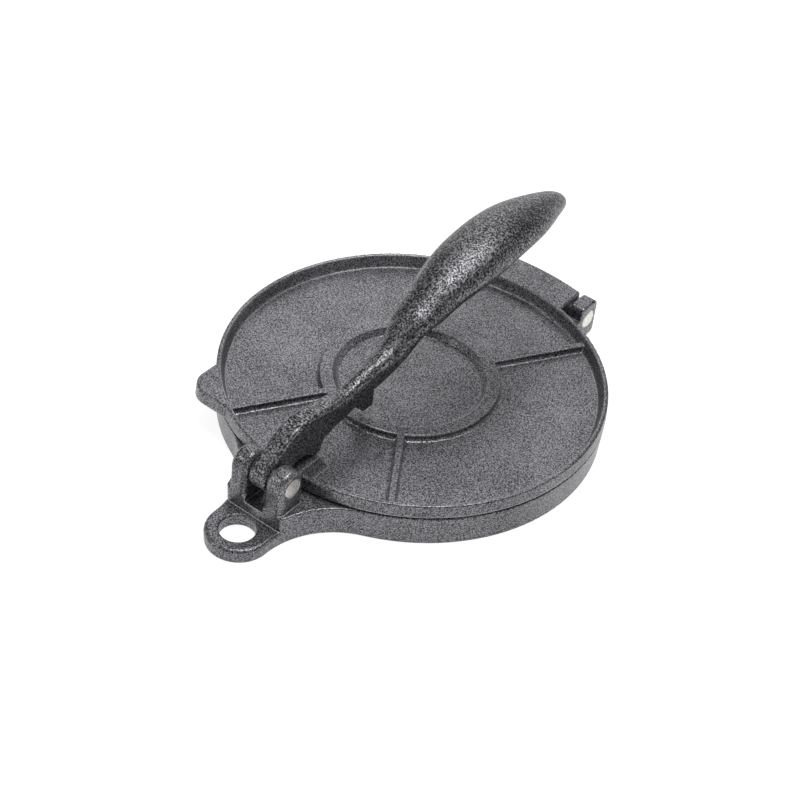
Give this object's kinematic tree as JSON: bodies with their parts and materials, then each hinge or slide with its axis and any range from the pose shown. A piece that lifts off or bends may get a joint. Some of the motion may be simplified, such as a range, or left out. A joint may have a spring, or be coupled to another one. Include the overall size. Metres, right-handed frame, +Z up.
{
  "type": "dough press",
  "caption": "Small round cast dough press for tortillas and dumpling skins: a slotted base, a hinged upper plate with a ribbed back and a long lever that presses it shut.",
  "frame": {"origin": "centre of the round base's underside, on the table", "axes": "+Z up, +Y from the lever's pin towards the plate's hinge, +X along both pins, to the right of someone who stands at the lever's pin and faces the press"},
  "size_m": [0.16, 0.2178, 0.0695],
  "materials": {
    "base_coating": "mid-grey hammertone coating on a casting",
    "plate_coating": "mid-grey hammertone coating on a casting",
    "lever_coating": "black and silver hammertone coating on a casting",
    "pin_steel": "plain cut steel rod"
  },
  "bodies": {
    "base": {"base_casting": "base_coating", "lever_pin": "pin_steel", "hinge_pin": "pin_steel"},
    "plate": {"pressing_plate": "plate_coating"},
    "lever": {"lever_handle": "lever_coating"}
  },
  "joints": [
    {"name": "lever_pivot", "type": "hinge", "parent": "base", "child": "lever", "pos_m": [0, -0.0904, 0.0237], "axis": [1, 0, 0], "range_deg": [0, 165]},
    {"name": "plate_hinge", "type": "hinge", "parent": "base", "child": "plate", "pos_m": [0, 0.0884, 0.0112], "axis": [-1, 0, 0], "range_deg": [0, 19.8]}
  ],
  "couplings": [
    {"joint": "plate_hinge", "follows": "lever_pivot", "ratio": 0.12}
  ]
}
